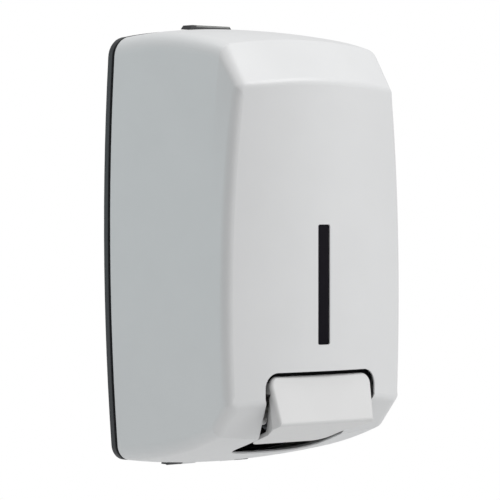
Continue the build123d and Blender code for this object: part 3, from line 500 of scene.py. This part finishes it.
@dataclass
class PanScrew:
    """A small pan head screw with a cross recess and a threaded shank."""

    shank_length: float
    head_radius: float = 2.8 * MM
    head_height: float = 2.2 * MM
    head_steps: int = 8
    head_fullness: float = 0.55
    rim_share: float = 0.18
    seat_share: float = 0.97
    shank_radius: float = 1.45 * MM
    tip_share: float = 0.5
    pitch: float = 0.9 * MM
    thread_depth: float = 0.22 * MM
    thread_start: float = 0.2 * MM
    neck: float = 0.1 * MM
    recess_reach: float = 1.7 * MM
    recess_width: float = 0.75 * MM
    recess_depth: float = 1.1 * MM
    recess_taper: float = 0.6
    first_turn: float = 0.4
    turn_step: float = 0.9
    segments: int = 48
    weld: float = 0.001 * MM

    def outline(self) -> list[tuple[float, float]]:
        """Half outline of the screw as radius and height, from the tip to the top of the head.

        Returns:
            Points of the outline.
        """
        root = self.shank_radius - self.thread_depth
        tip = -self.shank_length
        points = [(0.0, tip), (root * self.tip_share, tip)]
        turns = int((self.shank_length - 2 * self.thread_start) / self.pitch)
        for turn in range(turns):
            low = tip + turn * self.pitch + self.thread_start
            points.append((root, low))
            points.append((self.shank_radius, low + self.pitch / 2))
        points.append((root, -self.neck))
        points.append((self.shank_radius, 0.0))
        points.append((self.head_radius * self.seat_share, 0.0))
        for step in range(self.head_steps):
            angle = math.pi / 2 * step / self.head_steps
            share = self.rim_share + (1.0 - self.rim_share) * math.sin(angle)
            radius = self.head_radius * math.cos(angle) ** self.head_fullness
            points.append((radius, self.head_height * share))
        points.append((0.0, self.head_height))
        return points

    def recess(self) -> bpy.types.Object:
        """Cross shaped cutter for the recess in the head.

        Returns:
            The cutter object.
        """
        shape = bmesh.new()
        for reach, width in (
            (self.recess_reach, self.recess_width),
            (self.recess_width, self.recess_reach),
        ):
            bar = bmesh.ops.create_cube(shape, size=1.0)["verts"]
            bmesh.ops.scale(shape, verts=bar, vec=(2 * reach, 2 * width, 2 * self.recess_depth))
            foot = [vert for vert in bar if vert.co.z < 0]
            bmesh.ops.scale(shape, verts=foot, vec=(self.recess_taper, self.recess_taper, 1.0))
            bmesh.ops.translate(shape, verts=bar, vec=(0, 0, self.head_height))
        return add_piece("recess_cutter", shape)

    def blank(self) -> bpy.types.Object:
        """Turned screw without its recess.

        Returns:
            The turned object.
        """
        shape = bmesh.new()
        verts = [shape.verts.new((radius, 0.0, height)) for radius, height in self.outline()]
        edges = [shape.edges.new(pair) for pair in zip(verts, verts[1:])]
        bmesh.ops.spin(
            shape,
            geom=verts + edges,
            cent=(0, 0, 0),
            axis=(0, 0, 1),
            angle=2 * math.pi,
            steps=self.segments,
        )
        bmesh.ops.remove_doubles(shape, verts=shape.verts, dist=self.weld)
        return add_piece("screw_blank", shape)

    def build(self, name: str) -> bpy.types.Mesh:
        """Mesh of the whole screw, its head's seat at the origin and its head along Z.

        Args:
            name: Name of the mesh.

        Returns:
            The mesh.
        """
        blank = self.blank()
        cutter = self.recess()
        cut = blank.modifiers.new("recess", "BOOLEAN")
        cut.operation = "DIFFERENCE"
        cut.solver = "EXACT"
        cut.use_self = True
        cut.object = cutter
        bpy.context.view_layer.update()
        graph = bpy.context.evaluated_depsgraph_get()
        mesh = bpy.data.meshes.new_from_object(blank.evaluated_get(graph))
        mesh.name = name
        bpy.data.objects.remove(cutter)
        bpy.data.objects.remove(blank)
        return mesh

    def pair_seats(self, node: str, facing: Axis) -> list[Vector]:
        """Seats of a level pair of screws whose heads face out of the wall or into it.

        Args:
            node: CAD node of the pair.
            facing: Direction that the heads face.

        Returns:
            Centres of the faces under the heads, the left one first.
        """
        low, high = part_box(node)
        reach = high.x - self.head_radius
        height = (low.z + high.z) / 2
        if facing is Axis.OUT_OF_WALL:
            seat_y = low.y + self.head_height
        else:
            seat_y = high.y - self.head_height
        return [Vector((side * reach, seat_y, height)) for side in SIDES]

    def place(self, name: str, node: str, seats: list[Vector], facing: Axis, body: Body) -> None:
        """Build one piece with a screw at each seat, standing for a CAD node.

        Args:
            name: Name of the piece.
            node: CAD node that it stands for.
            seats: Centres of the faces under the heads.
            facing: Direction that the heads face.
            body: Body that the piece rides on.
        """
        turn = facing.vector.to_track_quat("Z", "Y").to_matrix().to_4x4()
        shape = bmesh.new()
        source = self.build(name + "_one")
        for index, seat in enumerate(seats):
            spin = Matrix.Rotation(self.first_turn + self.turn_step * index, 4, "Z")
            copy = source.copy()
            copy.transform(Matrix.Translation(seat) @ turn @ spin)
            shape.from_mesh(copy)
            bpy.data.meshes.remove(copy)
        bpy.data.meshes.remove(source)
        piece = add_piece(name, shape)
        finish_steel(piece, SCREW_STEEL)
        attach(piece, body.value)
        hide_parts(node)
        LOG.info("built %s with %d screws for %s", name, len(seats), node)


@dataclass
class WallBase:
    """Back plate and the pins of the hinge at its foot."""

    def build(self) -> None:
        """Dress the plate and the pins."""
        dress(BASE_DARK, "back_plate")
        dress(PIN_STEEL, "hinge_pins")


@dataclass
class LockSet:
    """Key lock on the top edge, with its screws and cam."""

    ear_screw_length: float = 5.4 * MM
    cam_screw_length: float = 6.0 * MM

    def build(self) -> None:
        """Dress the lock and build its screws."""
        dress(LOCK_BLACK, "lock_body")
        dress(STRIP_METAL, "lock_plate")
        dress(BARREL_BRASS, "lock_barrel")
        dress(PIN_STEEL, "lock_cam")
        self.build_ear_screws()
        self.build_cam_screw()

    def build_ear_screws(self) -> None:
        """Build the screws that hold the lock housing on the plate."""
        screw = PanScrew(self.ear_screw_length)
        seats = screw.pair_seats("lock_screws", Axis.OUT_OF_WALL)
        screw.place("lock_ear_screws", "lock_screws", seats, Axis.OUT_OF_WALL, Body.BACK)

    def build_cam_screw(self) -> None:
        """Build the screw that holds the cam on the barrel."""
        screw = PanScrew(self.cam_screw_length)
        low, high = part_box("cam_screw")
        seat = (low + high) / 2
        seat.z = low.z + screw.head_height
        screw.place("lock_cam_screw", "cam_screw", [seat], Axis.DOWN, Body.LOCK)


@dataclass
class CoverShell:
    """Bowed cover with its window."""

    def build(self) -> None:
        """Dress the shell and the window."""
        dress(COVER_GREY, "front_cover")
        dress(WINDOW, "window_lens")


@dataclass
class LeverUnit:
    """Push lever with its frame, pin, clips and screws; the frame's near-black colour is painted
    shade for the gaps.
    """

    screw_length: float = 6.6 * MM

    def build(self) -> None:
        """Dress the lever and its frame, whose near-black colour is painted shade, and build the
        frame's screws.
        """
        dress(LEVER_WHITE, "push_lever")
        # The frame's near-black colour is painted shade for the gaps around the lever.
        dress(SHADE_BLACK_FRAME, "lever_bracket")
        dress(PIN_STEEL, "lever_pin", "pin_clips")
        self.build_frame_screws()

    def build_frame_screws(self) -> None:
        """Build the screws that hold the frame in the cover."""
        screw = PanScrew(self.screw_length)
        seats = screw.pair_seats("bracket_screws", Axis.INTO_WALL)
        screw.place("lever_frame_screws", "bracket_screws", seats, Axis.INTO_WALL, Body.COVER)


@dataclass
class TankUnit:
    """Soap tank with its filler cap, neck nut and seals."""

    def build(self) -> None:
        """Dress the tank, the cap and the neck's pieces."""
        dress(TANK_MILK, "tank")
        dress(CAP_GREY, "filler_cap")
        dress(NUT_GREY, "union_nut")
        dress(SEAL_BLACK, "cap_seal", "neck_gasket")


@dataclass
class ReturnSpring:
    """Coil spring between the stem's collar and the pump's flange."""

    node: str = "return_spring"
    wire: float = 0.65 * MM
    turns: int = 6
    steps_per_turn: int = 32
    sides: int = 12
    end_gap: float = 0.1 * MM
    stem_travel: float = 4.8 * MM

    def wire_rings(self) -> list[list[Vector]]:
        """Rings of points round the wire, one at each step of the helix.

        Returns:
            The rings, from the collar's end to the flange's end.
        """
        low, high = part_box(self.node)
        middle = (low + high) / 2
        radius = (high.x - low.x) / 2 - self.wire
        rise = high.z - low.z - 2 * self.wire
        climb = rise / (2 * math.pi * self.turns * radius)
        steps = self.turns * self.steps_per_turn
        angles = [2 * math.pi * side / self.sides for side in range(self.sides)]
        rings = []
        for step in range(steps + 1):
            turn = 2 * math.pi * step / self.steps_per_turn
            outward = Vector((math.cos(turn), math.sin(turn), 0.0))
            along = Vector((-outward.y, outward.x, climb))
            across = along.normalized().cross(outward)
            centre = Vector((middle.x, middle.y, low.z + self.wire + rise * step / steps))
            centre += radius * outward
            rings.append([
                centre + self.wire * (math.cos(angle) * outward + math.sin(angle) * across)
                for angle in angles
            ])
        return rings

    def build(self) -> None:
        """Build the spring as a fixed coil of wire."""
        shape = bmesh.new()
        rings = [[shape.verts.new(point) for point in ring] for ring in self.wire_rings()]
        for lower, upper in zip(rings, rings[1:]):
            for side in range(self.sides):
                after = (side + 1) % self.sides
                shape.faces.new((lower[side], lower[after], upper[after], upper[side]))
        shape.faces.new(rings[0])
        shape.faces.new(rings[-1])
        piece = add_piece("coil_spring", shape)
        finish_steel(piece, SPRING_STEEL)
        self.tie(piece)
        LOG.info("built coil_spring with %d turns for %s", self.turns, self.node)

    def tie(self, piece: bpy.types.Object) -> None:
        """Let the spring ride on the tank's body.

        Args:
            piece: The finished spring.
        """
        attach(piece, Body.TANK.value)
        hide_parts(self.node)
        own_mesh(piece)


@dataclass
class PumpUnit:
    """Piston pump that hangs in the tank's neck."""

    def build(self) -> None:
        """Dress the pump's pieces and build its spring."""
        dress(PUMP_WHITE, "pump_body", "stem_guide", "pump_stem")
        dress(SEAL_BLACK, "piston_seal")
        dress(VALVE_PALE, "outlet_valve")
        dress(NUT_GREY, "nozzle_tip")
        dress(SPRING_STEEL, "inlet_ball")
        ReturnSpring().build()


@dataclass
class SoftBox:
    """A square studio lamp aimed at a point."""

    name: str
    place: Triple
    size: float
    power: float
    colour: Colour = (1.0, 1.0, 1.0)
    aim: Triple = (0.0, -0.05, 0.0)

    def build(self) -> None:
        """Add the lamp."""
        lamp = bpy.data.lights.new(self.name, "AREA")
        lamp.shape = "SQUARE"
        lamp.size = self.size
        lamp.energy = self.power
        lamp.color = self.colour
        holder = bpy.data.objects.new(self.name, lamp)
        holder.location = self.place
        toward = Vector(self.aim) - Vector(self.place)
        holder.rotation_euler = toward.to_track_quat("-Z", "Y").to_euler()
        bpy.context.scene.collection.objects.link(holder)


@dataclass
class Studio:
    """Pale floor, soft lamps and the camera of the photograph."""

    floor_drop: float = 0.31
    floor_radius: float = 1.3
    floor_sides: int = 96
    sky: float = 0.46
    white: Colour = (1.0, 1.0, 1.0)
    camera_place: Triple = (-1.26297, -1.44860, 0.02807)
    camera_azimuth: float = math.radians(42.0)
    camera_pitch: float = math.radians(0.906)
    lens: float = 227.52
    sensor: float = 36.0
    farthest: float = 50.0
    lamps: list[SoftBox] = field(default_factory=lambda: [
        SoftBox("key_lamp", (1.5, -1.9, 2.3), 1.4, 45.0),
        SoftBox("right_lamp", (1.9, -1.9, 0.5), 1.4, 14.5),
        SoftBox("rear_lamp", (-1.6, 1.3, 0.3), 1.2, 5.3, (0.7, 0.95, 1.0)),
        SoftBox("top_lamp", (-0.1, 0.1, 2.0), 1.0, 17.5),
    ])

    def build(self) -> None:
        """Add the floor, the lamps, the sky and the camera."""
        self.build_floor()
        self.build_sky()
        for lamp in self.lamps:
            lamp.build()
        self.build_camera()

    def build_floor(self) -> None:
        """Add a round sheet of pale paper below the object."""
        shape = bmesh.new()
        bmesh.ops.create_circle(
            shape, cap_ends=True, radius=self.floor_radius, segments=self.floor_sides
        )
        bmesh.ops.translate(shape, verts=shape.verts, vec=(0, 0, -self.floor_drop))
        floor = add_piece("floor", shape)
        PAPER.put_on(floor)

    def build_sky(self) -> None:
        """Add a white surround that the lens sees brighter than the object does."""
        world = bpy.data.worlds.new("white_surround")
        world.use_nodes = True
        tree = world.node_tree
        tree.nodes.clear()
        output = tree.nodes.new("ShaderNodeOutputWorld")
        mix = tree.nodes.new("ShaderNodeMixShader")
        path = tree.nodes.new("ShaderNodeLightPath")
        glow = tree.nodes.new("ShaderNodeBackground")
        seen = tree.nodes.new("ShaderNodeBackground")
        glow.inputs["Color"].default_value = (*self.white, 1.0)
        glow.inputs["Strength"].default_value = self.sky
        seen.inputs["Color"].default_value = (*self.white, 1.0)
        tree.links.new(path.outputs["Is Camera Ray"], mix.inputs["Fac"])
        tree.links.new(glow.outputs["Background"], mix.inputs[1])
        tree.links.new(seen.outputs["Background"], mix.inputs[2])
        tree.links.new(mix.outputs["Shader"], output.inputs["Surface"])
        bpy.context.scene.world = world

    def build_camera(self) -> None:
        """Add a camera with a long lens to the left of the object, almost level."""
        scene = bpy.context.scene
        lens = bpy.data.cameras.new("camera")
        lens.lens = self.lens
        lens.sensor_width = self.sensor
        lens.clip_end = self.farthest
        camera = bpy.data.objects.new("camera", lens)
        camera.location = self.camera_place
        level = math.cos(self.camera_pitch)
        ahead = Vector((
            level * math.sin(self.camera_azimuth),
            level * math.cos(self.camera_azimuth),
            -math.sin(self.camera_pitch),
        ))
        camera.rotation_euler = ahead.to_track_quat("-Z", "Y").to_euler()
        scene.collection.objects.link(camera)
        scene.camera = camera
        scene.view_settings.view_transform = "Standard"


def main() -> None:
    """Build the sub-assemblies in order, then the studio."""
    logging.basicConfig(level=logging.INFO, format="%(message)s")
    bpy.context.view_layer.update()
    for assembly in (WallBase(), LockSet(), CoverShell(), LeverUnit(), TankUnit(), PumpUnit()):
        assembly.build()
        LOG.info("finished %s", type(assembly).__name__)
    Studio().build()


if __name__ == "__main__":
    main()
